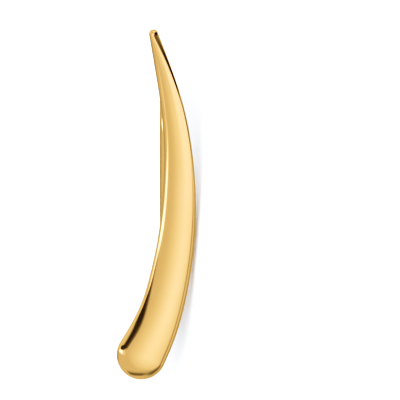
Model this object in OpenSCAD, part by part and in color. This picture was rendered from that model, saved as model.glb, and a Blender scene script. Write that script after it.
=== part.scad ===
// Ear climber: a bowed, tapered bar with a crowned face that runs up the ear,
// and an ear wire soldered to its flat back. All of it is one piece of metal.
// It lies on a flat surface as it rests by itself: on the belly of the bar
// and on the bend of the wire.
// The bar is drawn upright first, with X across its face, Y from face to back
// and Z up from foot to tip. It is laid down after that, with the tip to +Y.

/* [Bar] */
// Length of the bar from foot to tip
bar_l = 25; // [20:0.5:32]
// How far the middle of the bar bows sideways from its foot
bow = 2.7; // [1:0.1:4]
// Width of the round foot
foot_w = 3.54; // [2.8:0.02:4.4]
// Width of the round tip
tip_w = 0.68; // [0.6:0.02:1.2]
// Thickness of the bar at the foot
foot_t = 1.4; // [1.1:0.02:1.8]
// Thickness of the bar at the tip
tip_t = 0.82; // [0.7:0.02:1]
// Width of the rounding between face and hollow side, where the bar is thickest
hollow_edge_w = 0.48; // [0.2:0.02:0.5]
// Width of the rounding between face and belly, where the bar is thickest
belly_edge_w = 0.34; // [0.2:0.02:0.5]
// Width of the rounding at the end of the foot
foot_edge_w = 0.9; // [0.3:0.02:1.1]
// Depth of the rounding all round, where the bar is thickest
edge_d = 0.24; // [0.15:0.01:0.35]
// Height of the crown of the face, where the bar is thickest
crown = 0.22; // [0.04:0.01:0.3]
// Radius of the rounding round the back
back_r = 0.1; // [0.04:0.01:0.16]

/* [Ear wire] */
// Diameter of the wire
wire_d = 0.75; // [0.6:0.01:0.9]
// Height of the solder joint above the foot
root_z = 4.84; // [4:0.02:7]
// Distance of the joint from the middle of the bar, toward the belly
root_x = 0.28; // [-0.3:0.02:0.5]
// Farthest distance of the wire's middle line behind the bar
wire_reach = 3.56; // [3:0.02:4.5]
// Radius of the big bend
bend_r = 2.78; // [2:0.02:3.2]
// Rise of the wire where it leaves the back, in degrees
wire_rise = 8; // [0:1:15]
// Lean of the long run toward the bar, in degrees
wire_lean = 8; // [2:0.5:9]
// Height above the joint at which the wire turns outward
turn_h = 12.1; // [9:0.1:13.4]
// Radius of that turn
turn_r = 6.5; // [4:0.1:9]
// Flare of the free end away from the bar, in degrees
wire_flare = 10.5; // [5:0.5:15]
// Height of the free end above the joint
wire_h = 16.4; // [15.2:0.1:18]

/* [Solder] */
// Width of the solder fillet round the wire
solder_w = 0.16; // [0.08:0.01:0.25]
// Height of the solder fillet along the wire
solder_h = 0.24; // [0.1:0.01:0.4]

/* [Rest] */
// How far the tip is lifted where the piece balances on its belly, in degrees
rest_pitch = 4.4; // [0:0.1:8]

/* [Hidden] */
$fn = 48;

wire_r = wire_d / 2;
// The wire and its solder start this deep inside the bar
sink = 0.4;
// Steps along the bar, round the foot, round the tip and through the rounding
steps = 40;
foot_steps = 20;
tip_steps = 10;
edge_steps = 6;
// Steps round the wire's bend and turn, and sides of the bent wire
bend_steps = 16;
turn_steps = 5;
wire_sides = 24;
// Length of the collar round the start of the free run, and its clearance
collar_l = 0.3;
collar_gap = 0.005;

// The bar from its foot to its tip. Columns:
// height: share of the run between the middles of the two round ends
// side:   sideways place of the middle line, as a share of the bow
// width:  0 is the width of the tip, 1 that of the foot
// depth:  0 is the thickness of the tip, 1 that of the foot
SECTIONS = [
    [0.00, 0.00, 1.00, 1.00],
    [0.06, 0.26, 0.93, 1.00],
    [0.14, 0.53, 0.83, 0.95],
    [0.24, 0.75, 0.76, 0.86],
    [0.38, 0.94, 0.67, 0.73],
    [0.52, 1.00, 0.57, 0.62],
    [0.66, 0.95, 0.44, 0.47],
    [0.79, 0.78, 0.31, 0.32],
    [0.90, 0.55, 0.16, 0.14],
    [1.00, 0.32, 0.00, 0.00],
];
HEIGHT = 0;
SIDE = 1;
WIDTH = 2;
DEPTH = 3;
last_row = len(SECTIONS) - 1;

// Slope of a column at one row, from the rows on both sides of it
function slope(row, column) =
    let (a = max(row - 1, 0), b = min(row + 1, last_row))
    (SECTIONS[b][column] - SECTIONS[a][column]) /
    (SECTIONS[b][HEIGHT] - SECTIONS[a][HEIGHT]);

// The row below a height share
function row_below(share, row = 0) =
    row >= last_row - 1 || SECTIONS[row + 1][HEIGHT] > share ? row : row_below(share, row + 1);

// A column's value at a height share, as a smooth curve through the rows
function smooth(share, column) =
    let (
        row = row_below(share),
        low = SECTIONS[row],
        high = SECTIONS[row + 1],
        gap = high[HEIGHT] - low[HEIGHT],
        t = (share - low[HEIGHT]) / gap
    )
    low[column] * (1 + 2 * t) * pow(1 - t, 2) +
    high[column] * (3 - 2 * t) * pow(t, 2) +
    slope(row, column) * gap * t * pow(1 - t, 2) -
    slope(row + 1, column) * gap * pow(t, 2) * (1 - t);

// The middle line of the bar, seen from the front
foot_z = foot_w / 2;
run = bar_l - foot_w / 2 - tip_w / 2;
function middle(share) = [bow * smooth(share, SIDE), foot_z + run * share];
function half_width(share) = (tip_w + (foot_w - tip_w) * smooth(share, WIDTH)) / 2;
function thickness(share) = tip_t + (foot_t - tip_t) * smooth(share, DEPTH);

// The direction along the middle line, in degrees from straight up toward the belly
function heading(share) =
    let (a = middle(max(share - 0.01, 0)), b = middle(min(share + 0.01, 1)))
    atan2(b[0] - a[0], b[1] - a[1]);

// A point of the outline. turn is 0 square to the belly side, 90 toward the tip
function outline_point(share, turn) =
    let (a = turn - heading(share))
    middle(share) + half_width(share) * [cos(a), sin(a)];

function mix(a, b, share) = a + (b - a) * share;

// The outline as a loop: up the belly side, round the tip, down the hollow side and
// round the foot. Each entry is [point, step of the middle line it belongs to,
// width of the rounding there if the bar were as thick as at the foot]
LOOP = concat(
    [for (i = [0:steps]) [outline_point(i / steps, 0), i, belly_edge_w]],
    [
        for (i = [1:tip_steps - 1])
        let (s = i / tip_steps)
        [outline_point(1, 180 * s), steps, mix(belly_edge_w, hollow_edge_w, s)]
    ],
    [for (i = [steps:-1:0]) [outline_point(i / steps, 180), i, hollow_edge_w]],
    [
        for (i = [1:foot_steps - 1])
        let (s = i / foot_steps, side_w = mix(hollow_edge_w, belly_edge_w, s))
        [outline_point(0, 180 + 180 * s), 0, mix(side_w, foot_edge_w, pow(sin(180 * s), 2))]
    ]
);
POINT = 0;
STEP = 1;
ROUNDING = 2;
loop_n = len(LOOP);

// Height of the face over the sides' upper edge, at a distance in from the outline
function face_rise(inset, edge, half, scale) =
    scale * edge_d * sqrt(1 - pow(1 - min(inset / edge, 1), 2)) +
    scale * crown * (1 - pow(1 - inset / half, 2));

// How far in from the outline each ring of the face lies, as shares of the rounding,
// then as shares of what is left up to the middle line
EDGE_INSETS = [for (i = [0:edge_steps]) 1 - cos(90 * i / edge_steps)];
FACE_INSETS = [0.25, 0.6];

// A ring point from an outline entry: in from the outline and forward of the back
function ring_point(entry, inset, forward) =
    let (
        centre = middle(entry[STEP] / steps),
        q = mix(entry[POINT], centre, inset / norm(centre - entry[POINT]))
    )
    [q[0], -forward, q[1]];

// The width of the rounding at an outline entry, kept within the bar's half width
function edge_width(entry) =
    let (share = entry[STEP] / steps)
    min(entry[ROUNDING] * thickness(share) / foot_t, 0.85 * half_width(share));

function face_point(entry, inset) =
    let (
        share = entry[STEP] / steps,
        scale = thickness(share) / foot_t,
        side_t = scale * (foot_t - edge_d - crown)
    )
    ring_point(entry, inset, side_t + face_rise(inset, edge_width(entry), half_width(share), scale));

// All rings of the bar, from the middle of the face over the side to the back
RINGS = concat(
    [
        for (i = [len(FACE_INSETS) - 1:-1:0])
        [
            for (entry = LOOP)
            face_point(entry, mix(edge_width(entry), half_width(entry[STEP] / steps), FACE_INSETS[i]))
        ]
    ],
    [
        for (i = [edge_steps:-1:0])
        [for (entry = LOOP) face_point(entry, edge_width(entry) * EDGE_INSETS[i])]
    ],
    [
        for (a = [0:45:90])
        [for (entry = LOOP) ring_point(entry, back_r * (1 - cos(a)), back_r * (1 - sin(a)))]
    ]
);
FACE_LINE = [
    for (i = [0:steps])
    let (c = middle(i / steps))
    [c[0], -thickness(i / steps), c[1]]
];
BACK_LINE = [
    for (i = [0:steps])
    let (c = middle(i / steps))
    [c[0], 0, c[1]]
];
BAR_POINTS = concat([for (ring = RINGS) each ring], FACE_LINE, BACK_LINE);

ring_n = len(RINGS);
face_line_at = ring_n * loop_n;
back_line_at = face_line_at + steps + 1;

// Triangles between a ring and a middle line
function cover(ring_at, line_at) = [
    for (i = [0:loop_n - 1])
    let (j = (i + 1) % loop_n, a = LOOP[i][STEP], b = LOOP[j][STEP])
    each concat(
        [[ring_at + i, ring_at + j, line_at + a]],
        a == b ? [] : [[ring_at + j, line_at + b, line_at + a]]
    )
];

// Triangles between one ring and the next
function band(ring) = [
    for (i = [0:loop_n - 1])
    let (j = (i + 1) % loop_n, a = ring * loop_n, b = a + loop_n)
    each [[a + i, b + j, b + i], [a + i, a + j, b + j]]
];

function flipped(faces) = [for (f = faces) [f[0], f[2], f[1]]];

// The wire runs in a plane square to the back. Its points are [behind the back, height],
// and its angles are measured from straight back
function ray(a) = [cos(a), sin(a)];
wire_x = middle((root_z - foot_z) / run)[0] + root_x;
root = [0, root_z];
start = root - sink * ray(wire_rise);
first_l = (wire_reach - bend_r * (1 - sin(wire_rise))) / cos(wire_rise);
bend_c = root + first_l * ray(wire_rise) + bend_r * ray(wire_rise + 90);
long_angle = 90 + wire_lean;
bend_end = bend_c + bend_r * ray(long_angle - 90);
long_l = (root_z + turn_h - bend_end[1]) / cos(wire_lean);
turn_c = bend_end + long_l * ray(long_angle) + turn_r * ray(long_angle - 90);
free_angle = 90 - wire_flare;
turn_end = turn_c + turn_r * ray(free_angle + 90);
free_l = (root_z + wire_h - wire_r - turn_end[1]) / cos(wire_flare);
free_end = turn_end + free_l * ray(free_angle);

// The bent part of the wire, as stations of [point, angle]. It ends in a collar round
// the start of the straight free run
WIRE_PATH = concat(
    [[start, wire_rise]],
    [
        for (i = [0:bend_steps])
        let (a = wire_rise + (long_angle - wire_rise) * i / bend_steps)
        [bend_c + bend_r * ray(a - 90), a]
    ],
    [
        for (i = [0:turn_steps])
        let (a = long_angle + (free_angle - long_angle) * i / turn_steps)
        [turn_c + turn_r * ray(a + 90), a]
    ],
    [[turn_end + collar_l * ray(free_angle), free_angle]]
);
wire_n = len(WIRE_PATH);
tube_r = (wire_r + collar_gap) / cos(180 / wire_sides);
WIRE_POINTS = [for (p = concat([for (s = WIRE_PATH) s[0]], [free_end])) [wire_x, p[0], p[1]]];

// Where an upright point goes when the piece is rolled onto its belly and pitched
function laid(p, roll) =
    let (
        x = p[0] * cos(roll) - p[1] * sin(roll),
        z = -p[0] * sin(roll) - p[1] * cos(roll)
    )
    [x, p[2] * cos(rest_pitch) - z * sin(rest_pitch), p[2] * sin(rest_pitch) + z * cos(rest_pitch)];

function low_of(points, roll) = min([for (p = points) laid(p, roll)[2]]);

// The roll at which bar and wire touch the surface together
OUTER_POINTS = [for (i = [ring_n - 3:ring_n - 1]) each RINGS[i]];
function rest_roll(from = 30, to = 88, tries = 24) =
    let (
        roll = (from + to) / 2,
        wire_is_lower = low_of(WIRE_POINTS, roll) - tube_r < low_of(OUTER_POINTS, roll)
    )
    tries == 0 ? roll : rest_roll(wire_is_lower ? roll : from, wire_is_lower ? to : roll, tries - 1);

roll = rest_roll();
LAID_BAR = [for (p = BAR_POINTS) laid(p, roll)];
LAID_WIRE = [for (p = WIRE_POINTS) laid(p, roll)];
function least(axis) =
    min(min([for (p = LAID_BAR) p[axis]]), min([for (p = LAID_WIRE) p[axis]]) - tube_r);
function most(axis) =
    max(max([for (p = LAID_BAR) p[axis]]), max([for (p = LAID_WIRE) p[axis]]) + tube_r);
to_origin = [-(least(0) + most(0)) / 2, -(least(1) + most(1)) / 2, -least(2)];

module bar() {
    color("gold")
    polyhedron(
        points = BAR_POINTS,
        faces = concat(
            flipped(cover(0, face_line_at)),
            [for (i = [0:ring_n - 2]) each band(i)],
            cover((ring_n - 1) * loop_n, back_line_at)
        )
    );
}

// The bent part of the wire, with a ring of points round each station
module bent_wire() {
    polyhedron(
        points = [
            for (s = WIRE_PATH, i = [0:wire_sides - 1])
            let (a = 360 * i / wire_sides, c = s[0] + tube_r * sin(a) * ray(s[1] + 90))
            [wire_x + tube_r * cos(a), c[0], c[1]]
        ],
        faces = concat(
            [for (i = [1:wire_sides - 2]) [0, i + 1, i]],
            [
                for (ring = [0:wire_n - 2], i = [0:wire_sides - 1])
                let (a = ring * wire_sides, b = a + wire_sides, j = (i + 1) % wire_sides)
                each [[a + i, a + j, b + j], [a + i, b + j, b + i]]
            ],
            [
                for (i = [1:wire_sides - 2])
                let (a = (wire_n - 1) * wire_sides)
                [a, a + i, a + i + 1]
            ]
        )
    );
}

// Puts what stands on Z at a point of the wire's plane, turned to an angle
module in_wire_plane(p, angle) {
    translate([wire_x, p[0], p[1]])
    rotate([angle - 90, 0, 0])
    children();
}

// The straight free run of the wire with its round end
module free_run() {
    cylinder(r = wire_r, h = free_l);
    translate([0, 0, free_l])
    intersection() {
        sphere(wire_r);
        translate([-wire_d, -wire_d, 0])
        cube(2 * wire_d);
    }
}

module ear_wire() {
    color("gold") {
        bent_wire();
        in_wire_plane(turn_end, free_angle)
        free_run();
    }
}

// The hollow fillet of solder at the wire's root
module solder() {
    color("gold")
    in_wire_plane(start, wire_rise)
    rotate_extrude()
    polygon(concat(
        [[0, 0], [wire_r + solder_w, 0]],
        [
            for (a = [0:22.5:90])
            [wire_r + solder_w * (1 - 0.85 * sin(a)), sink + solder_h * (1 - cos(a))]
        ],
        [[0, sink + solder_h]]
    ));
}

module ear_climber() {
    translate(to_origin)
    rotate([rest_pitch, 0, 0])
    rotate([0, roll, 0])
    rotate([-90, 0, 0]) {
        bar();
        ear_wire();
        solder();
    }
}

ear_climber();
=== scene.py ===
"""A polished yellow gold ear climber on a pale studio floor.

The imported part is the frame: it gives the place and the box. One smooth body takes the place
of its solid: the bar is a closed loft and the ear wire a sweep, both made by Geometry Nodes,
and the two are fused at the solder joint. Sizes are in millimetres until the body is laid down.

The body is built upright, as its maker would draw it: X runs across the face, -Y is the side
that the face looks to, and Z goes up from the foot to the tip. Then it is laid on the floor.

The metal mirrors the softboxes and cards of a studio, which are painted by direction in the
world. They stay where they are when the camera moves. All other light is a plain pale sky.
"""

import logging
import math
from collections.abc import Iterable, Sequence
from dataclasses import dataclass, field, fields
from enum import Enum

import bpy
import numpy as np
from mathutils import Matrix, Vector


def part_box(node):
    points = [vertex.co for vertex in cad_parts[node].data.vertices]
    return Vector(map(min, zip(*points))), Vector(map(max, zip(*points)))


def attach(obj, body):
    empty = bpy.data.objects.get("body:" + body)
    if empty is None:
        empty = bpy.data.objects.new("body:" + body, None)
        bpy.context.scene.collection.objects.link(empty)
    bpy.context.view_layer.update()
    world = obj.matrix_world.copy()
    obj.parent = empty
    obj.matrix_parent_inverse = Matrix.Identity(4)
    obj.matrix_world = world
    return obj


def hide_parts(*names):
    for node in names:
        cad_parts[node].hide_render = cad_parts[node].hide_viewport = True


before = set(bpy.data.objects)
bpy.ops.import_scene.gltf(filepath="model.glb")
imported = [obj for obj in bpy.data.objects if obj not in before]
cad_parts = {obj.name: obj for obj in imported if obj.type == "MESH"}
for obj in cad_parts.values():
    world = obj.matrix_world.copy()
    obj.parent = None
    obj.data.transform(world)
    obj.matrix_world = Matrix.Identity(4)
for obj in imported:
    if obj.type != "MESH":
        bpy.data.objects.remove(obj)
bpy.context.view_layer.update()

LOG = logging.getLogger("ear_climber")
MM = 0.001

# Points of a skin that lie closer than this, in millimetres, become one.
SEAM = 0.0004

# The socket that takes each type of value in a Geometry Nodes tree.
SOCKETS = {float: "NodeSocketFloat", int: "NodeSocketInt", bpy.types.Material: "NodeSocketMaterial"}

# Directions of the upright drawing: across the face, to behind it, and to the tip.
ACROSS = Vector((1.0, 0.0, 0.0))
BACKWARD = Vector((0.0, 1.0, 0.0))
UPWARD = Vector((0.0, 0.0, 1.0))


class Op(Enum):
    """The Math node's operations that are used here."""

    ADD = "ADD"
    SUBTRACT = "SUBTRACT"
    MULTIPLY = "MULTIPLY"
    DIVIDE = "DIVIDE"
    POWER = "POWER"
    ROOT = "SQRT"
    SINE = "SINE"
    COSINE = "COSINE"
    ARC_COSINE = "ARCCOSINE"
    FLOOR = "FLOOR"
    SIZE = "ABSOLUTE"
    LEAST = "MINIMUM"
    MOST = "MAXIMUM"


class Slot(Enum):
    """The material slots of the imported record."""

    GOLD = "polished_gold"


@dataclass(frozen=True)
class Field:
    """A number socket that works in a Python expression. Each operator adds a Math node."""

    graph: "Graph"
    socket: bpy.types.NodeSocket

    def math(self, op: Op, *values: "Number") -> "Field":
        """Adds one Math node.

        Args:
            op: What the node does.
            values: The values of its sockets, in order.

        Returns:
            The node's result.
        """
        made = self.graph.node("ShaderNodeMath", {"operation": op.value}, dict(enumerate(values)))
        return Field(self.graph, made.outputs[0])

    def __add__(self, other: "Number") -> "Field":
        """Returns the sum."""
        return self.math(Op.ADD, self, other)

    def __radd__(self, other: "Number") -> "Field":
        """Returns the sum, with this field on the right."""
        return self.math(Op.ADD, other, self)

    def __sub__(self, other: "Number") -> "Field":
        """Returns the difference."""
        return self.math(Op.SUBTRACT, self, other)

    def __rsub__(self, other: "Number") -> "Field":
        """Returns the difference, with this field on the right."""
        return self.math(Op.SUBTRACT, other, self)

    def __mul__(self, other: "Number") -> "Field":
        """Returns the product."""
        return self.math(Op.MULTIPLY, self, other)

    def __rmul__(self, other: "Number") -> "Field":
        """Returns the product, with this field on the right."""
        return self.math(Op.MULTIPLY, other, self)

    def __truediv__(self, other: "Number") -> "Field":
        """Returns the quotient."""
        return self.math(Op.DIVIDE, self, other)

    def __pow__(self, other: "Number") -> "Field":
        """Returns this field raised to a power."""
        return self.math(Op.POWER, self, other)

    def __neg__(self) -> "Field":
        """Returns the field with the other sign."""
        return 0 - self

    def __abs__(self) -> "Field":
        """Returns the field without its sign."""
        return self.math(Op.SIZE, self)

    def sin(self) -> "Field":
        """Returns the sine of an angle in radians."""
        return self.math(Op.SINE, self)

    def cos(self) -> "Field":
        """Returns the cosine of an angle in radians."""
        return self.math(Op.COSINE, self)

    def arc_cos(self) -> "Field":
        """Returns the angle in radians that has this cosine."""
        return self.math(Op.ARC_COSINE, self)

    def root(self) -> "Field":
        """Returns the square root."""
        return self.math(Op.ROOT, self)

    def whole(self) -> "Field":
        """Returns the whole number below."""
        return self.math(Op.FLOOR, self)

    def between(self, low: "Number", high: "Number") -> "Field":
        """Returns the field kept between two values."""
        return self.math(Op.MOST, self, low).at_most(high)

    def at_most(self, other: "Number") -> "Field":
        """Returns the lesser of the two."""
        return self.math(Op.LEAST, self, other)

    def ramp(self, start: "Number", end: "Number") -> "Field":
        """Goes smoothly from 0 to 1 while this field goes from start to end."""
        t = ((self - start) / (end - start)).between(0.0, 1.0)
        return t * t * (3.0 - 2.0 * t)


Number = float | int | Field


@dataclass(frozen=True)
class Arrow:
    """A vector socket that works in a Python expression."""

    graph: "Graph"
    socket: bpy.types.NodeSocket

    def math(self, operation: str, inputs: dict[int | str, object], result: int = 0) -> bpy.types.NodeSocket:
        """Adds one Vector Math node with this vector in its first socket.

        Args:
            operation: What the node does.
            inputs: The values or links of its other sockets.
            result: Which of its outputs is wanted.

        Returns:
            The output socket.
        """
        made = self.graph.node("ShaderNodeVectorMath", {"operation": operation}, {0: self} | inputs)
        return made.outputs[result]

    def __add__(self, other: "Arrow | Vector") -> "Arrow":
        """Returns the sum."""
        return Arrow(self.graph, self.math("ADD", {1: other}))

    def __sub__(self, other: "Arrow | Vector") -> "Arrow":
        """Returns the difference."""
        return Arrow(self.graph, self.math("SUBTRACT", {1: other}))

    def __mul__(self, factor: Number) -> "Arrow":
        """Returns the vector times a number."""
        return Arrow(self.graph, self.math("SCALE", {"Scale": factor}))

    def dot(self, other: "Arrow | Vector") -> Field:
        """Returns the dot product."""
        return Field(self.graph, self.math("DOT_PRODUCT", {1: other}, 1))

    def length(self) -> Field:
        """Returns the vector's length."""
        return Field(self.graph, self.math("LENGTH", {}, 1))

    def parts(self) -> tuple[Field, ...]:
        """Returns the three parts of the vector."""
        made = self.graph.node("ShaderNodeSeparateXYZ", inputs={0: self})
        return tuple(Field(self.graph, part) for part in made.outputs)


class Graph:
    """Adds nodes to one node tree."""

    def __init__(self, tree: bpy.types.NodeTree) -> None:
        """Keeps the tree that grows."""
        self.tree = tree

    @staticmethod
    def emptied(owner: bpy.types.Material | bpy.types.World) -> "Graph":
        """Returns the tree of a material or a world, without its nodes."""
        owner.use_nodes = True
        owner.node_tree.nodes.clear()
        return Graph(owner.node_tree)

    def node(
        self,
        kind: str,
        settings: dict[str, object] | None = None,
        inputs: dict[int | str, object] | None = None,
    ) -> bpy.types.Node:
        """Adds one node of any type.

        Args:
            kind: The node's type.
            settings: The node's own settings, which are set first.
            inputs: A value or a link for each socket, by its name or its number.

        Returns:
            The new node.
        """
        made = self.tree.nodes.new(kind)
        for name, value in (settings or {}).items():
            setattr(made, name, value)
        for key, value in (inputs or {}).items():
            self.feed(made.inputs[key], value)
        return made

    def feed(self, socket: bpy.types.NodeSocket, value: object) -> None:
        """Links or sets one input.

        Args:
            socket: The input.
            value: A field, an arrow, a socket or a plain value.
        """
        if isinstance(value, (Field, Arrow)):
            value = value.socket
        if isinstance(value, bpy.types.NodeSocket):
            self.tree.links.new(value, socket)
        else:
            socket.default_value = value

    def number(self, socket: bpy.types.NodeSocket) -> Field:
        """Returns a number socket as a field."""
        return Field(self, socket)

    def arrow(self, socket: bpy.types.NodeSocket) -> Arrow:
        """Returns a vector socket as an arrow."""
        return Arrow(self, socket)

    def vector(self, x: Number, y: Number, z: Number) -> Arrow:
        """Returns the vector with these parts."""
        return Arrow(self, self.node("ShaderNodeCombineXYZ", inputs={0: x, 1: y, 2: z}).outputs[0])

    def mix(self, share: Number, first: object, second: object) -> bpy.types.NodeSocket:
        """Mixes two colours.

        Args:
            share: 0 for the first and 1 for the second.
            first: A colour or a link.
            second: A colour or a link.

        Returns:
            The mixed colour's socket.
        """
        made = self.node("ShaderNodeMix", {"data_type": "RGBA"}, {0: share, 6: first, 7: second})
        return made.outputs[2]

    def noise(self, place: Arrow, scale: float, detail: float, roughness: float) -> Field:
        """Adds a noise texture.

        Args:
            place: Where the texture is read.
            scale: How many blobs a unit of length has.
            detail: How many finer layers it has.
            roughness: How strong those are.

        Returns:
            The noise, from 0 to 1.
        """
        made = self.node(
            "ShaderNodeTexNoise",
            {"noise_dimensions": "3D"},
            {"Vector": place, "Scale": scale, "Detail": detail, "Roughness": roughness},
        )
        return Field(self, made.outputs[0])


def mix(first: Number, second: Number, share: Number) -> Number:
    """Returns the value at a share of the way from the first to the second."""
    return first + (second - first) * share


class ShapeTree(Graph):
    """A Geometry Nodes tree with named inputs that turns a line of points into a skin."""

    def __init__(self, name: str, inputs: dict[str, float | int | bpy.types.Material]) -> None:
        """Makes the tree and its inputs.

        Args:
            name: The tree's name.
            inputs: The value of each named input.
        """
        super().__init__(bpy.data.node_groups.new(name, "GeometryNodeTree"))
        face = self.tree.interface
        face.new_socket("Geometry", in_out="INPUT", socket_type="NodeSocketGeometry")
        face.new_socket("Geometry", in_out="OUTPUT", socket_type="NodeSocketGeometry")
        self.values: dict[str, object] = {}
        for label, value in inputs.items():
            item = face.new_socket(label, in_out="INPUT", socket_type=SOCKETS[type(value)])
            self.values[item.identifier] = value
        self.start = self.node("NodeGroupInput")
        self.line = self.start.outputs["Geometry"]

    def read(self, label: str) -> Field:
        """Returns a named input as a field."""
        return self.number(self.start.outputs[label])

    def index(self) -> Field:
        """Returns the number of each point."""
        return self.number(self.node("GeometryNodeInputIndex").outputs[0])

    def place(self) -> Arrow:
        """Returns the place of each point."""
        return self.arrow(self.node("GeometryNodeInputPosition").outputs[0])

    def from_line(self, value: object, at: Field, kind: str = "FLOAT") -> bpy.types.NodeSocket:
        """Reads a value of the line of points.

        Args:
            value: The name of an attribute, or a link.
            at: The number of the point.
            kind: The value's data type.

        Returns:
            The socket with the value.
        """
        if isinstance(value, str):
            named = self.node("GeometryNodeInputNamedAttribute", {"data_type": kind}, {"Name": value})
            value = named.outputs[0]
        made = self.node(
            "GeometryNodeSampleIndex",
            {"data_type": kind, "domain": "POINT"},
            {"Geometry": self.line, "Value": value, "Index": at},
        )
        return made.outputs[0]

    def moved(self, geometry: bpy.types.NodeSocket, place: Arrow) -> bpy.types.NodeSocket:
        """Returns the geometry with its points moved to a place."""
        made = self.node("GeometryNodeSetPosition", inputs={"Geometry": geometry, "Position": place})
        return made.outputs[0]

    def finish(self, geometry: bpy.types.NodeSocket) -> None:
        """Closes the seams and poles, smooths the shading and ends the tree.

        Args:
            geometry: The finished skin.
        """
        merged = self.node("GeometryNodeMergeByDistance", inputs={"Geometry": geometry, "Distance": SEAM})
        smooth = self.node("GeometryNodeSetShadeSmooth", inputs={"Geometry": merged.outputs[0]})
        real = self.node("GeometryNodeRealizeInstances", inputs={"Geometry": smooth.outputs[0]})
        dressed = self.node(
            "GeometryNodeSetMaterial",
            inputs={"Geometry": real.outputs[0], "Material": self.start.outputs["Material"]},
        )
        self.node("NodeGroupOutput", inputs={0: dressed.outputs[0]})

    def grow(self, line: bpy.types.Mesh, name: str) -> bpy.types.Object:
        """Runs the tree on a line of points.

        Args:
            line: The mesh with the points.
            name: The new object's name.

        Returns:
            An object with the skin as a plain mesh.
        """
        body = add_object(name, line)
        modifier = body.modifiers.new("grow", "NODES")
        modifier.node_group = self.tree
        for identifier, value in self.values.items():
            modifier[identifier] = value
        make_plain(body)
        return body


def add_object(name: str, data: bpy.types.ID) -> bpy.types.Object:
    """Returns a new object in the scene with this data."""
    made = bpy.data.objects.new(name, data)
    bpy.context.scene.collection.objects.link(made)
    return made


def make_plain(body: bpy.types.Object) -> None:
    """Applies all modifiers of an object, which then has a plain mesh."""
    evaluated = body.evaluated_get(bpy.context.evaluated_depsgraph_get())
    mesh = bpy.data.meshes.new_from_object(evaluated)
    mesh.name = body.name
    body.modifiers.clear()
    body.data = mesh


def volume_of(mesh: bpy.types.Mesh) -> float:
    """Returns the volume inside a closed mesh, which is negative if its faces look inward."""
    mesh.calc_loop_triangles()
    points = np.array([v.co for v in mesh.vertices])
    corners = points[np.array([t.vertices for t in mesh.loop_triangles])]
    return float(np.einsum("ij,ij->i", corners[:, 0], np.cross(corners[:, 1], corners[:, 2])).sum() / 6)


class Spline:
    """A curve through a few values with no kink in its slope or its bend."""

    def __init__(self, at: Sequence[float], values: Sequence[float]) -> None:
        """Works out the bend at each value, with straight ends.

        Args:
            at: Where the values are, in rising order.
            values: The values.
        """
        self.at = np.array(at, float)
        self.values = np.array(values, float)
        gap = np.diff(self.at)
        rise = np.diff(self.values) / gap
        count = len(self.at)
        system = np.eye(count)
        pull = np.zeros(count)
        for i in range(1, count - 1):
            system[i, i - 1 : i + 2] = gap[i - 1], 2 * (gap[i - 1] + gap[i]), gap[i]
            pull[i] = 6 * (rise[i] - rise[i - 1])
        self.bend = np.linalg.solve(system, pull)

    def __call__(self, at: np.ndarray) -> np.ndarray:
        """Returns the curve's values at these places."""
        row = np.clip(np.searchsorted(self.at, at, side="right") - 1, 0, len(self.at) - 2)
        gap = self.at[row + 1] - self.at[row]
        high = (at - self.at[row]) / gap
        low = 1 - high
        straight = low * self.values[row] + high * self.values[row + 1]
        bent = (low**3 - low) * self.bend[row] + (high**3 - high) * self.bend[row + 1]
        return straight + bent * gap**2 / 6


@dataclass(frozen=True)
class Station:
    """One section of the bar.

    height is the share of the run between the middles of the round ends, side the share of the
    bow, and width and depth go from 0, as at the tip, to 1, as at the foot. The rest is in
    millimetres: how far the rounding reaches into the face and how far it drops, on the belly
    side and on the hollow side. crest is how far the face's highest line is from the middle line
    towards the hollow side, as a share of half the width.
    """

    height: float
    side: float
    width: float
    depth: float
    belly_edge: float
    belly_drop: float
    hollow_edge: float
    hollow_drop: float
    crest: float = 0.0


BAR_STATIONS = (
    Station(0.00, 0.00, 1.00, 1.00, 0.34, 0.24, 0.90, 0.33),
    Station(0.06, 0.26, 0.93, 1.00, 0.34, 0.24, 0.98, 0.34),
    Station(0.14, 0.53, 0.83, 0.95, 0.33, 0.235, 0.68, 0.29),
    Station(0.24, 0.75, 0.76, 0.86, 0.32, 0.225, 0.46, 0.235),
    Station(0.38, 0.94, 0.67, 0.73, 0.30, 0.215, 0.43, 0.215),
    Station(0.52, 1.00, 0.57, 0.62, 0.26, 0.19, 0.40, 0.20),
    Station(0.66, 0.95, 0.44, 0.47, 0.23, 0.17, 0.37, 0.19),
    Station(0.79, 0.78, 0.31, 0.32, 0.21, 0.16, 0.34, 0.18),
    Station(0.90, 0.55, 0.16, 0.14, 0.25, 0.20, 0.30, 0.18),
    Station(1.00, 0.32, 0.00, 0.00, 0.34, 0.36, 0.28, 0.26, crest=0.55),
)
EDGE_COLUMNS = ("belly_edge", "belly_drop", "hollow_edge", "hollow_drop", "crest")


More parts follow.
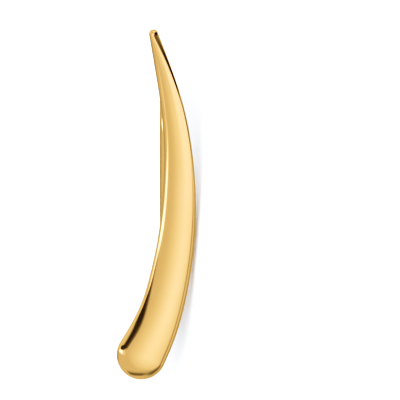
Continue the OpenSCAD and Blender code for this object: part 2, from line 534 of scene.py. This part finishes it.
@dataclass
class Bar:
    """The bowed, tapered bar with its crowned face, round foot, round tip and flat back.

    foot_edge and foot_drop are the rounding's reach and drop round the foot's end, and crown is
    how far the face's middle stands out there. strip_rows are the rows of the face, its edge, the
    wall, the back's edge and the back.
    """

    length: float = 25.0
    bow: float = 2.7
    foot_width: float = 3.54
    tip_width: float = 0.68
    foot_depth: float = 1.4
    tip_depth: float = 0.82
    foot_edge: float = 0.9
    foot_drop: float = 0.29
    crown: float = 0.22
    back_round: float = 0.1
    along: int = 300
    round_tip: int = 24
    round_foot: int = 72
    strip_rows: Sequence[int] = (20, 14, 5, 6, 8)
    edge_limit: float = 0.95
    stations: Sequence[Station] = BAR_STATIONS

    def __post_init__(self) -> None:
        """Makes the curves through the stations."""
        heights = [s.height for s in self.stations]
        columns = [f.name for f in fields(Station) if f.name != "height"]
        self._curves = {c: Spline(heights, [getattr(s, c) for s in self.stations]) for c in columns}

    @property
    def run(self) -> float:
        """The height between the middles of the two round ends."""
        return self.length - self.foot_width / 2 - self.tip_width / 2

    def middle(self, share: np.ndarray) -> np.ndarray:
        """Returns points of the middle line at shares of the run."""
        x = self.bow * self._curves["side"](share)
        return np.stack([x, np.zeros_like(x), self.foot_width / 2 + self.run * share], axis=1)

    def middle_x(self, height: float) -> float:
        """Returns how far the middle line is to the side at a height."""
        return float(self.middle(np.array([(height - self.foot_width / 2) / self.run]))[0, 0])

    def spine(self) -> bpy.types.Mesh:
        """Makes the middle line as a mesh of points.

        Returns:
            A mesh with the section's sizes and the heading as attributes of its points.
        """
        share = np.linspace(0, 1, self.along + 1)
        points = self.middle(share)
        step = np.gradient(points, axis=0)
        width = self._curves["width"](share)
        depth = self._curves["depth"](share)
        values = {
            "half_width": (self.tip_width + (self.foot_width - self.tip_width) * width) / 2,
            "depth": self.tip_depth + (self.foot_depth - self.tip_depth) * depth,
            "heading": np.arctan2(step[:, 0], step[:, 2]),
        }
        values |= {name: self._curves[name](share) for name in EDGE_COLUMNS}
        mesh = bpy.data.meshes.new("bar_spine")
        mesh.from_pydata(points.tolist(), [], [])
        for name, column in values.items():
            mesh.attributes.new(name, "FLOAT", "POINT").data.foreach_set("value", column.astype(np.float32))
        return mesh

    def build(self, material: bpy.types.Material) -> bpy.types.Object:
        """Grows the bar on its middle line.

        Args:
            material: What it is made of.

        Returns:
            The bar's object.
        """
        tree = ShapeTree(
            "bar_loft",
            {
                "Foot edge": self.foot_edge,
                "Foot drop": self.foot_drop,
                "Crown": self.crown,
                "Back round": self.back_round,
                "Foot depth": self.foot_depth,
                "Material": material,
            },
        )
        rows = sum(self.strip_rows) + 1
        round_trip = 2 * self.along + self.round_tip + self.round_foot + 1
        grid = tree.node(
            "GeometryNodeMeshGrid",
            inputs={"Size X": 1.0, "Size Y": 1.0, "Vertices X": round_trip, "Vertices Y": rows},
        )
        place = self._place(tree, rows)
        tree.finish(tree.moved(grid.outputs[0], place))
        return tree.grow(self.spine(), "bar")

    def _place(self, tree: ShapeTree, rows: int) -> Arrow:
        """Writes the rule that gives each point of the grid its place.

        Args:
            tree: The tree that grows the bar.
            rows: How many rows the grid has from the face to the back.

        Returns:
            The place.
        """
        index = tree.index()
        loop = (index / rows).whole()
        row = index - loop * rows
        tip = ((loop - self.along) / self.round_tip).between(0, 1)
        foot = ((loop - (2 * self.along + self.round_tip)) / self.round_foot).between(0, 1)
        back_down = (loop - (self.along + self.round_tip)).between(0, self.along)
        step = loop.between(0, self.along) - back_down

        middle = tree.arrow(tree.from_line(tree.place(), step, "FLOAT_VECTOR"))
        columns = ("half_width", "heading", "depth", *EDGE_COLUMNS)
        half, heading, depth, belly_edge, belly_drop, hollow_edge, hollow_drop, crest = (
            tree.number(tree.from_line(name, step)) for name in columns
        )
        hollow = tip - foot
        round_foot = (foot * math.pi).sin() ** 2
        edge = mix(mix(belly_edge, hollow_edge, hollow), tree.read("Foot edge"), round_foot)
        edge = edge.at_most(half * self.edge_limit)
        drop = mix(mix(belly_drop, hollow_drop, hollow), tree.read("Foot drop"), round_foot)

        strips = []
        start = 0
        for count in self.strip_rows:
            strips.append(((row - start) / count).between(0, 1))
            start += count
        face, bend, wall, back_bend, back = strips
        bend = bend * (math.pi / 2)
        back_bend = back_bend * (math.pi / 2)

        crown = tree.read("Crown") * depth / tree.read("Foot depth")
        back_round = tree.read("Back round")
        face_inset = (half - edge) * (1 - face) + edge * (1 - bend.sin())
        inset = face_inset + back_round * (1 - back_bend.cos()) + (half - back_round) * back
        side = depth - drop - crown
        front = side + drop * bend.cos() + crown * (1 - (1 - face_inset / half) ** 2)
        forward = front - (side - back_round) * wall - back_round * back_bend.sin()

        turn = (tip + foot) * math.pi - heading
        outward = tree.vector(turn.cos(), 0, turn.sin())
        to_hollow = tree.vector(-heading.cos(), 0, heading.sin())
        flat = middle + outward * (half - inset) + to_hollow * (crest * face_inset)
        return flat + tree.vector(0, -forward, 0)


@dataclass
class EarWire:
    """The bent wire that goes through the ear, with the solder fillet at its root.

    Its points are pairs of the distance behind the back and the height. Angles are measured from
    straight back.
    """

    root_x: float
    root_height: float
    diameter: float = 0.75
    reach: float = 3.56
    bend_radius: float = 2.78
    rise_deg: float = 8.0
    lean_deg: float = 8.0
    turn_height: float = 12.1
    turn_radius: float = 6.5
    flare_deg: float = 10.5
    end_height: float = 16.4
    solder_width: float = 0.16
    solder_height: float = 0.24
    sink: float = 0.4
    step: float = 0.12
    fine_step: float = 0.012
    fine_length: float = 0.5
    sides: int = 48

    @property
    def radius(self) -> float:
        """Half the wire's diameter."""
        return self.diameter / 2

    @staticmethod
    def ray(angle: float) -> np.ndarray:
        """Returns the direction at an angle in degrees."""
        return np.array([math.cos(math.radians(angle)), math.sin(math.radians(angle))])

    def _corners(self) -> tuple[np.ndarray, ...]:
        """Works out where the wire's straight and round stretches meet.

        Returns:
            The start, the middle of the bend, the end of the bend, the middle of the turn, the
            end of the turn and the free end.
        """
        rise_cos, rise_sin = self.ray(self.rise_deg)
        long_angle = 90 + self.lean_deg
        free_angle = 90 - self.flare_deg
        root = np.array([0.0, self.root_height])
        start = root - self.sink * self.ray(self.rise_deg)
        first = (self.reach - self.bend_radius * (1 - rise_sin)) / rise_cos
        bend_middle = root + first * self.ray(self.rise_deg) + self.bend_radius * self.ray(self.rise_deg + 90)
        bend_end = bend_middle + self.bend_radius * self.ray(long_angle - 90)
        long_run = (self.root_height + self.turn_height - bend_end[1]) / self.ray(self.lean_deg)[0]
        turn_start = bend_end + long_run * self.ray(long_angle)
        turn_middle = turn_start + self.turn_radius * self.ray(long_angle - 90)
        turn_end = turn_middle + self.turn_radius * self.ray(free_angle + 90)
        rest = self.root_height + self.end_height - turn_end[1]
        free_end = turn_end + (rest / self.ray(self.flare_deg)[0]) * self.ray(free_angle)
        return start, bend_middle, bend_end, turn_middle, turn_end, free_end

    def path(self) -> bpy.types.Mesh:
        """Makes the wire's middle line as a mesh of points and edges.

        Returns:
            The mesh, with its points close together at the solder and at the round end.
        """
        start, bend_middle, bend_end, turn_middle, turn_end, free_end = self._corners()
        long_angle = 90 + self.lean_deg
        free_angle = 90 - self.flare_deg
        bend_start = bend_middle + self.bend_radius * self.ray(self.rise_deg - 90)
        turn_start = turn_middle + self.turn_radius * self.ray(long_angle + 90)
        points: list[np.ndarray] = []

        def straight(a: np.ndarray, b: np.ndarray, step: float) -> None:
            """Adds evenly spaced points from a up to b, without b itself."""
            count = max(1, round(float(np.linalg.norm(b - a)) / step))
            points.extend(a + (b - a) * i / count for i in range(count))

        def arc(middle: np.ndarray, radius: float, angle_from: float, angle_to: float) -> None:
            """Adds evenly spaced points on an arc.

            Args:
                middle: The arc's middle.
                radius: Its radius.
                angle_from: The first point's angle in degrees.
                angle_to: The angle where it ends, without a point there.
            """
            count = max(2, round(radius * abs(math.radians(angle_to - angle_from)) / self.step))
            angles = (angle_from + (angle_to - angle_from) * i / count for i in range(count))
            points.extend(middle + radius * self.ray(angle) for angle in angles)

        fine_end = start + (self.sink + self.fine_length) * self.ray(self.rise_deg)
        fine_start = free_end - self.fine_length * self.ray(free_angle)
        straight(start, fine_end, self.fine_step)
        straight(fine_end, bend_start, self.step)
        arc(bend_middle, self.bend_radius, self.rise_deg - 90, long_angle - 90)
        straight(bend_end, turn_start, self.step)
        arc(turn_middle, self.turn_radius, long_angle + 90, free_angle + 90)
        straight(turn_end, fine_start, self.step)
        straight(fine_start, free_end, self.fine_step)
        points.append(free_end)

        mesh = bpy.data.meshes.new("ear_wire_path")
        edges = [(i, i + 1) for i in range(len(points) - 1)]
        mesh.from_pydata([(self.root_x, float(p[0]), float(p[1])) for p in points], edges, [])
        return mesh

    def build(self, material: bpy.types.Material) -> bpy.types.Object:
        """Sweeps the wire along its path.

        Args:
            material: What it is made of.

        Returns:
            The wire's object.
        """
        tree = ShapeTree(
            "ear_wire_sweep",
            {
                "Wire radius": self.radius,
                "Sides": self.sides,
                "Solder width": self.solder_width,
                "Solder height": self.solder_height,
                "Material": material,
            },
        )
        radius = tree.read("Wire radius")
        curve = tree.node("GeometryNodeMeshToCurve", inputs={0: tree.line}).outputs[0]
        length = tree.number(tree.node("GeometryNodeSplineLength").outputs["Length"])
        passed = tree.number(tree.node("GeometryNodeSplineParameter").outputs["Length"])
        keep = tree.node("GeometryNodeCaptureAttribute")
        keep.capture_items.new("VECTOR", "centre")
        keep.capture_items.new("FLOAT", "left")
        tree.feed(keep.inputs[0], curve)
        tree.feed(keep.inputs[1], tree.place())
        tree.feed(keep.inputs[2], length - passed)
        profile = tree.node(
            "GeometryNodeCurvePrimitiveCircle", inputs={"Resolution": tree.read("Sides"), "Radius": radius}
        )
        swept = tree.node(
            "GeometryNodeCurveToMesh",
            inputs={"Curve": keep.outputs[0], "Profile Curve": profile.outputs[0], "Fill Caps": True},
        )
        centre = tree.arrow(keep.outputs[1])
        left = tree.number(keep.outputs[2])
        outward = tree.place() - centre
        round_end = 1 - (1 - (left / radius).between(0, 1)) ** 2
        behind = tree.place().parts()[1]
        climb = 1 - (behind / tree.read("Solder height")).between(0, 1)
        fillet = 1 - (1 - climb**2).root()
        girth = round_end.root() + fillet * (tree.read("Solder width") / radius)
        tree.finish(tree.moved(swept.outputs[0], centre + outward * girth))
        return tree.grow(self.path(), "ear_wire")


@dataclass(frozen=True)
class RestPose:
    """How the upright piece lies: rolled onto its belly, with its tip a little lifted."""

    roll_deg: float = 67.5493
    pitch_deg: float = 4.4

    def turn(self) -> Matrix:
        """Returns the rotation from the upright drawing to the floor's frame."""
        lay_down = Matrix.Rotation(math.radians(-90), 3, "X")
        roll = Matrix.Rotation(math.radians(self.roll_deg), 3, "Y")
        lift = Matrix.Rotation(math.radians(self.pitch_deg), 3, "X")
        return lift @ roll @ lay_down


@dataclass(frozen=True)
class Grain:
    """One noise in the metal's surface: its size in millimetres, its finer layers, their strength."""

    size_mm: float
    detail: float
    roughness: float

    def on(self, graph: Graph, place: Arrow) -> Field:
        """Returns the noise, from 0 to 1, at a place in millimetres."""
        return graph.noise(place, 1 / self.size_mm, self.detail, self.roughness)


@dataclass(frozen=True)
class PolishedGold:
    """Yellow gold with a mirror polish: faint waves, hairlines and a little dulling.

    The solder is a little duller and has pores, and the flat back is satin. Pairs are where a
    change starts and where it is complete.
    """

    colour: tuple[float, float, float] = (0.935, 0.572, 0.265)
    deep_colour: tuple[float, float, float] = (0.922, 0.558, 0.25)
    solder_colour: tuple[float, float, float] = (0.935, 0.585, 0.295)
    rim_tint: tuple[float, float, float] = (1.0, 0.93, 0.72)
    patches: Grain = Grain(3.52, 3.0, 0.55)
    deep_patch: tuple[float, float] = (0.35, 0.7)
    dull_patch: tuple[float, float] = (0.45, 0.75)
    polish_roughness: float = 0.055
    dull_roughness: float = 0.035
    waves: Grain = Grain(1.6, 1.0, 0.4)
    wave_height_mm: float = 0.00035
    hairlines: Grain = Grain(0.035, 2.0, 0.6)
    hairline_length: float = 22.0
    hairline_height_mm: float = 0.00004
    solder_reach_mm: tuple[float, float] = (0.341, 0.62)
    solder_cover: float = 0.7
    solder_roughness: float = 0.06
    pores: Grain = Grain(1 / 9, 4.0, 0.6)
    pore_roughness: float = 0.1
    pore_height_mm: float = 0.004
    satin_roughness: float = 0.175
    satin_patch_roughness: float = 0.15
    satin_height_mm: float = 0.0004
    satin_margin_mm: tuple[float, float] = (0.008, 0.03)

    def material(self, root: Vector, along: Vector, behind: Vector) -> bpy.types.Material:
        """Makes the metal's material.

        Args:
            root: Where the wire is soldered on, in metres.
            along: The direction in which the bar was polished.
            behind: The direction away from the flat back, which was only rubbed down.

        Returns:
            The material.
        """
        made = bpy.data.materials.new(Slot.GOLD.value)
        graph = Graph.emptied(made)
        place = graph.arrow(graph.node("ShaderNodeTexCoord").outputs["Object"])
        millimetres = place * (1 / MM)

        from_root = (place - root) * (1 / MM)
        soldered = 1 - from_root.length().ramp(*self.solder_reach_mm)
        satin = 1 - abs(from_root.dot(behind)).ramp(*self.satin_margin_mm)
        patches = self.patches.on(graph, millimetres)
        pores = self.pores.on(graph, millimetres)

        gold = graph.mix(patches.ramp(*self.deep_patch), (*self.colour, 1), (*self.deep_colour, 1))
        colour = graph.mix(soldered * self.solder_cover, gold, (*self.solder_colour, 1))
        roughness = (
            self.polish_roughness
            + self.dull_roughness * patches.ramp(*self.dull_patch)
            + soldered * (self.solder_roughness + self.pore_roughness * pores)
            + satin * (self.satin_roughness + self.satin_patch_roughness * patches)
        )

        shrink = millimetres.dot(along) * (1 - 1 / self.hairline_length)
        hairlines = self.hairlines.on(graph, millimetres - graph.vector(*along) * shrink)
        height = (
            self.waves.on(graph, millimetres) * self.wave_height_mm
            + hairlines * (self.hairline_height_mm + satin * self.satin_height_mm)
            + pores * soldered * self.pore_height_mm
        )
        bump = graph.node("ShaderNodeBump", inputs={"Strength": 1.0, "Distance": MM, "Height": height})
        surface = graph.node(
            "ShaderNodeBsdfPrincipled",
            inputs={
                "Base Color": colour,
                "Metallic": 1.0,
                "Roughness": roughness,
                "Specular Tint": (*self.rim_tint, 1),
                "Normal": bump.outputs[0],
            },
        )
        graph.node("ShaderNodeOutputMaterial", inputs={"Surface": surface.outputs[0]})
        return made


@dataclass
class EarClimber:
    """The whole piece: bar and ear wire, fused, laid down and dressed."""

    bar: Bar = field(default_factory=Bar)
    root_offset: float = 0.24
    root_height: float = 4.84
    pose: RestPose = field(default_factory=RestPose)
    gold: PolishedGold = field(default_factory=PolishedGold)
    node: str = "ear_climber"
    shift: Vector = field(init=False, default_factory=Vector)

    def __post_init__(self) -> None:
        """Puts the ear wire behind the bar."""
        root_x = self.bar.middle_x(self.root_height) + self.root_offset
        self.wire = EarWire(root_x=root_x, root_height=self.root_height)

    def build(self) -> bpy.types.Object:
        """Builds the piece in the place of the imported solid.

        Returns:
            The fused and dressed body.
        """
        blank = bpy.data.materials.new("blank")
        body = self.bar.build(blank)
        wire = self.wire.build(blank)
        for part in (body, wire):
            if volume_of(part.data) < 0:
                part.data.flip_normals()
            LOG.info("%s: %d faces, %.2f mm3", part.name, len(part.data.polygons), volume_of(part.data))
        self._fuse(body, wire)
        body.name = body.data.name = "ear_climber_gold"
        self.shift = self._lay_down(body)
        root = self.in_scene((self.wire.root_x, 0.0, self.root_height))
        turn = self.pose.turn()
        body.data.materials.clear()
        body.data.materials.append(self.gold.material(root, turn @ UPWARD, turn @ BACKWARD))
        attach(body, "root")
        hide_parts(self.node)
        return body

    def _fuse(self, body: bpy.types.Object, wire: bpy.types.Object) -> None:
        """Joins the wire to the bar as one closed skin and removes the wire's object.

        Args:
            body: The bar, which becomes the whole.
            wire: The wire with its solder.
        """
        union = body.modifiers.new("solder", "BOOLEAN")
        union.operation = "UNION"
        union.solver = "EXACT"
        union.object = wire
        make_plain(body)
        bpy.data.objects.remove(wire)

    def _lay_down(self, body: bpy.types.Object) -> Vector:
        """Turns the body into its rest pose, in metres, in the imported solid's box.

        Args:
            body: The fused body, upright and in millimetres.

        Returns:
            How far it was moved after it was turned.
        """
        turn = self.pose.turn().to_4x4()
        body.data.transform(Matrix.Scale(MM, 4) @ turn)
        points = np.array([v.co for v in body.data.vertices])
        low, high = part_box(self.node)
        shift = Vector(
            (
                (low.x + high.x - points[:, 0].min() - points[:, 0].max()) / 2,
                (low.y + high.y - points[:, 1].min() - points[:, 1].max()) / 2,
                low.z - points[:, 2].min(),
            )
        )
        body.data.transform(Matrix.Translation(shift))
        LOG.info("laid down: box %s mm", [round(float(s) / MM, 3) for s in np.ptp(points, axis=0)])
        return shift

    def in_scene(self, upright: Sequence[float]) -> Vector:
        """Returns where an upright point in millimetres lies in the scene."""
        return self.pose.turn() @ Vector(upright) * MM + self.shift


@dataclass(frozen=True)
class View:
    """The three directions of a picture: to its right, to its top and out of it."""

    right: Vector
    up: Vector
    out: Vector

    @staticmethod
    def of_face(pose: RestPose) -> "View":
        """Returns the view straight at the face, with the tip at the top."""
        turn = pose.turn()
        return View(right=turn @ ACROSS, up=turn @ UPWARD, out=turn @ -BACKWARD)


@dataclass(frozen=True)
class Framing:
    """The photograph's framing, as a camera that looks straight at the face.

    top_px and foot_px are where the bar's ends are in the picture, middle_line_px is where X is 0,
    and the scale holds face_depth millimetres before the back. The camera's reach is in metres.
    """

    frame_px: float = 400.0
    top_px: float = 28.7
    foot_px: float = 379.6
    middle_line_px: float = 141.4
    face_depth: float = 0.8
    lens_mm: float = 250.0
    sensor_mm: float = 36.0
    nearest: float = 0.001
    farthest: float = 10.0

    def place(self, climber: EarClimber, view: View) -> None:
        """Makes the scene's camera.

        Args:
            climber: The piece, which gives the scale.
            view: The directions of the picture.
        """
        mm_per_px = climber.bar.length / (self.foot_px - self.top_px)
        centre_x = (self.frame_px / 2 - self.middle_line_px) * mm_per_px
        centre_z = (self.foot_px - self.frame_px / 2) * mm_per_px
        aim = climber.in_scene((centre_x, -self.face_depth, centre_z))
        distance = self.frame_px * mm_per_px * MM * self.lens_mm / self.sensor_mm
        camera = add_object("camera", bpy.data.cameras.new("camera"))
        camera.data.lens = self.lens_mm
        camera.data.sensor_width = self.sensor_mm
        camera.data.clip_start = self.nearest
        camera.data.clip_end = self.farthest
        turn = Matrix((view.right, view.up, view.out)).transposed()
        camera.matrix_world = Matrix.Translation(aim + view.out * distance) @ turn.to_4x4()
        bpy.context.scene.camera = camera


@dataclass(frozen=True)
class Zone:
    """A softbox, a dark card or a shaded stretch in the surroundings that the metal mirrors.

    Its place and half sizes are degrees away from the view of the face, to the right and up.
    soft is how far its edge fades to either side, in degrees too.
    """

    name: str
    right: float
    up: float
    half_width: float
    half_height: float
    level: float
    turn_deg: float = 0.0
    soft: float = 8.0

    def mask(self, across: Field, upward: Field) -> Field:
        """Returns 1 inside the zone and 0 outside, with a soft edge.

        Args:
            across: How far to the right a direction lies, in degrees.
            upward: How far up it lies, in degrees.
        """
        cos = math.cos(math.radians(self.turn_deg))
        sin = math.sin(math.radians(self.turn_deg))
        x = across - self.right
        y = upward - self.up
        along = abs(x * cos + y * sin)
        over = abs(y * cos - x * sin)
        inside_x = 1 - along.ramp(self.half_width - self.soft, self.half_width + self.soft)
        inside_y = 1 - over.ramp(self.half_height - self.soft, self.half_height + self.soft)
        return inside_x * inside_y


ZONES = (
    Zone("table side", 75, -26, 74, 54, level=0.47, turn_deg=6, soft=12),
    Zone("tent above the tip", -42, 63, 72, 42, level=0.62, soft=12),
    Zone("far side of the tent", -128, -8, 50, 24, level=0.40, soft=15),
    Zone("shade below the foot", -17, -50.5, 21, 7.5, level=0.16, turn_deg=13, soft=8),
    Zone("shade at the table edge", 28, -41, 22, 13, level=0.20, turn_deg=42, soft=8),
    Zone("far table", 114, -30, 26, 52, level=0.33, turn_deg=-20, soft=9),
    Zone("front card", 10, -4, 15, 11, level=1.05, turn_deg=13, soft=15),
    Zone("front card beside the tip", 38, 14.5, 27, 11, level=1.08, turn_deg=9, soft=7),
    Zone("card above the tip", 46, 54, 14, 12, level=1.3, soft=8),
    Zone("light strip beside the belly", 63, -12, 8, 24, level=0.62, turn_deg=-12, soft=6),
    Zone("dark gap beside the belly", 41, -14, 5, 22, level=0.34, turn_deg=-16, soft=4),
    Zone("shade beside the upper belly", 90, 24, 24, 6.5, level=0.24, turn_deg=20, soft=5),
    Zone("light card beside the tip", 120, 60, 18, 9, level=0.75, turn_deg=26, soft=6),
    Zone("dark card beside the tip", 78, 36.5, 28.5, 6.5, level=0.03, turn_deg=22, soft=3.5),
    Zone("dark card over the tip", 24, 27, 22.5, 7.3, level=0.03, turn_deg=12, soft=3.5),
    Zone("grey end of the dark card", -30, 14.2, 5.5, 3.4, level=0.17, turn_deg=-12, soft=2),
    Zone("dark card over the hollow", -47, 18.6, 15.5, 6.9, level=0.05, turn_deg=-5, soft=3.5),
    Zone("glow round the softbox", -54, 7, 21, 4.3, level=0.78, turn_deg=-16, soft=4),
    Zone("overhead softbox", -57, 8.8, 12, 3.8, level=2.2, turn_deg=-20, soft=3),
    Zone("thin end of the dark card", -49, 12.8, 8, 1.8, level=0.10, turn_deg=-10, soft=1.6),
)


@dataclass
class Studio:
    """The pale floor, the surroundings that the metal mirrors, the soft light and the print.

    The tent is what the metal mirrors where there is no zone. Behind the piece it has its own
    level. A pair is where a change starts and where it is complete. The dome is the soft light.
    """

    view: View
    zones: Sequence[Zone] = ZONES
    tent_level: float = 0.53
    behind_level: float = 0.50
    behind_slope: float = 0.45
    behind_reach: tuple[float, float] = (0.45, 0.64)
    behind_side: tuple[float, float] = (-0.3, 0.1)
    most_cosine: float = 0.9999
    brightness: float = 1.075
    shade_red: float = 0.84
    shade_levels: tuple[float, float] = (0.30, 0.62)
    black_levels: tuple[float, float] = (0.06, 0.2)
    card_tint: tuple[float, float, float] = (1.0, 0.89, 1.03)
    card_levels: tuple[float, float] = (0.55, 1.15)
    dome_colour: tuple[float, float, float] = (0.82, 0.905, 1.0)
    dome_level: float = 2.0
    dome_lean: float = 0.9
    dome_side: tuple[float, float, float] = (1.0, 0.0, 0.0)
    floor_radius: float = 2.0
    floor_sides: int = 96
    floor_colour: tuple[float, float, float] = (0.80, 0.80, 0.80)
    print_toe: float = 0.17
    print_places: Sequence[float] = (0.0, 0.05, 0.1, 0.16, 0.24, 0.34, 0.46, 0.6, 0.78, 1.0)

    def build(self) -> None:
        """Makes everything round the piece."""
        self._floor()
        self._surroundings()
        self._print_curve()

    def _floor(self) -> None:
        """Makes the pale floor as a large disc."""
        mesh = bpy.data.meshes.new("floor")
        angles = [2 * math.pi * i / self.floor_sides for i in range(self.floor_sides)]
        ring = [(self.floor_radius * math.cos(a), self.floor_radius * math.sin(a), 0.0) for a in angles]
        mesh.from_pydata(ring, [], [tuple(range(self.floor_sides))])
        floor = add_object("floor", mesh)
        made = bpy.data.materials.new("pale_floor")
        graph = Graph.emptied(made)
        surface = graph.node(
            "ShaderNodeBsdfPrincipled",
            inputs={"Base Color": (*self.floor_colour, 1), "Roughness": 1.0, "Specular IOR Level": 0.0},
        )
        graph.node("ShaderNodeOutputMaterial", inputs={"Surface": surface.outputs[0]})
        mesh.materials.append(made)
        # The metal mirrors the painted table instead.
        floor.visible_glossy = False

    def _surroundings(self) -> None:
        """Makes the world: a tent with softboxes and dark cards for mirrored rays, a dome for others."""
        world = bpy.data.worlds.new("studio")
        bpy.context.scene.world = world
        graph = Graph.emptied(world)
        direction = graph.arrow(graph.node("ShaderNodeTexCoord").outputs["Generated"])
        out = direction.dot(self.view.out).between(-self.most_cosine, self.most_cosine)
        reach = out.arc_cos() * math.degrees(1) / (1 - out * out).root()
        across = direction.dot(self.view.right) * reach
        upward = direction.dot(self.view.up) * reach
        level: Number = self.tent_level
        for zone in self.zones:
            level = mix(level, zone.level, zone.mask(across, upward))
            level.socket.node.label = zone.name
        behind = (-out).ramp(*self.behind_reach) * direction.dot(self.view.right).ramp(*self.behind_side)
        behind_level = self.behind_level + self.behind_slope * abs(direction.dot(self.view.up))
        level = mix(level, behind_level, behind)

        in_shade = (1 - level.ramp(*self.shade_levels)) * level.ramp(*self.black_levels)
        less_red = mix(1, self.shade_red, in_shade)
        on_card = level.ramp(*self.card_levels)
        red, green, blue = (mix(1, part, on_card) for part in self.card_tint)
        tent = graph.vector(level * less_red * red, level * green, level * blue) * self.brightness
        lean = self.dome_lean * direction.dot(Vector(self.dome_side))
        dome = graph.vector(*self.dome_colour) * (self.dome_level * (1 + lean))
        mirrored = graph.number(graph.node("ShaderNodeLightPath").outputs["Is Glossy Ray"])
        colour = graph.mix(mirrored, dome, tent)
        background = graph.node("ShaderNodeBackground", inputs={"Color": colour, "Strength": 1.0})
        graph.node("ShaderNodeOutputWorld", inputs={"Surface": background.outputs[0]})

    def _print_curve(self) -> None:
        """Gives the picture the tones of a printed photograph: deep shades and soft lights."""
        settings = bpy.context.scene.view_settings
        settings.view_transform = "Standard"
        settings.look = "None"
        settings.use_curve_mapping = True
        mapping = settings.curve_mapping
        mapping.extend = "HORIZONTAL"
        *_, combined = mapping.curves
        while len(combined.points) < len(self.print_places):
            combined.points.new(0.5, 0.5)
        for point, x in zip(combined.points, self.print_places, strict=True):
            point.location = (x, x * x * (1 + self.print_toe) / (x * x + self.print_toe))
        mapping.update()


def main() -> None:
    """Builds the piece, the camera and the studio."""
    logging.basicConfig(level=logging.INFO, format="%(name)s: %(message)s")
    climber = EarClimber()
    body = climber.build()
    LOG.info("%s: %d faces", body.name, len(body.data.polygons))
    view = View.of_face(climber.pose)
    Framing().place(climber, view)
    Studio(view).build()


if __name__ == "__main__":
    main()
